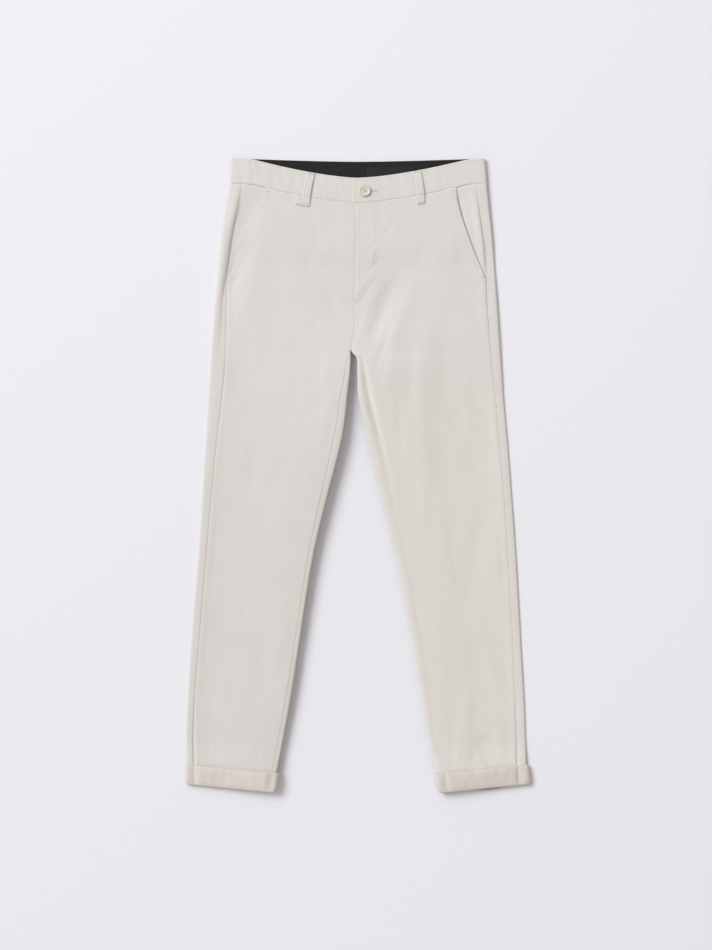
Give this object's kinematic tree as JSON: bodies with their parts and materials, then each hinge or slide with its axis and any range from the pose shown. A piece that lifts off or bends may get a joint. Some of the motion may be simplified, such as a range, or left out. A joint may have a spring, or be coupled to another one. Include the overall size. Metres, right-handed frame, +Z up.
{
  "type": "chino trousers",
  "caption": "Slim chino trousers laid flat on their back, with slant pockets, belt loops, a buttoned waistband and turned-up hems.",
  "frame": {"origin": "on the surface that the garment lies on, under the middle of its box", "axes": "+Y to the waist, +X to the wearer's left, +Z up off the surface"},
  "size_m": [0.5534, 1.0116, 0.0216],
  "materials": {
    "twill": "matt cotton twill",
    "tape": "black woven tape",
    "satin": "black satin label, bare",
    "thread": "matt sewing thread",
    "resin": "semi-gloss cast resin"
  },
  "bodies": {
    "root": {"front_right": "twill", "front_left": "twill", "back_right": "twill", "back_left": "twill", "pocket_facing_right": "twill", "pocket_facing_left": "twill", "waistband_right": "twill", "waistband_left": "twill", "cuff_front_right": "twill", "cuff_front_left": "twill", "cuff_back_right": "twill", "cuff_back_left": "twill", "belt_loop_front_right": "twill", "belt_loop_front_left": "twill", "belt_loop_back_right": "twill", "belt_loop_back_left": "twill", "belt_loop_centre_back": "twill", "waistband_lining": "tape", "label": "satin", "button": "resin"}
  },
  "joints": []
}
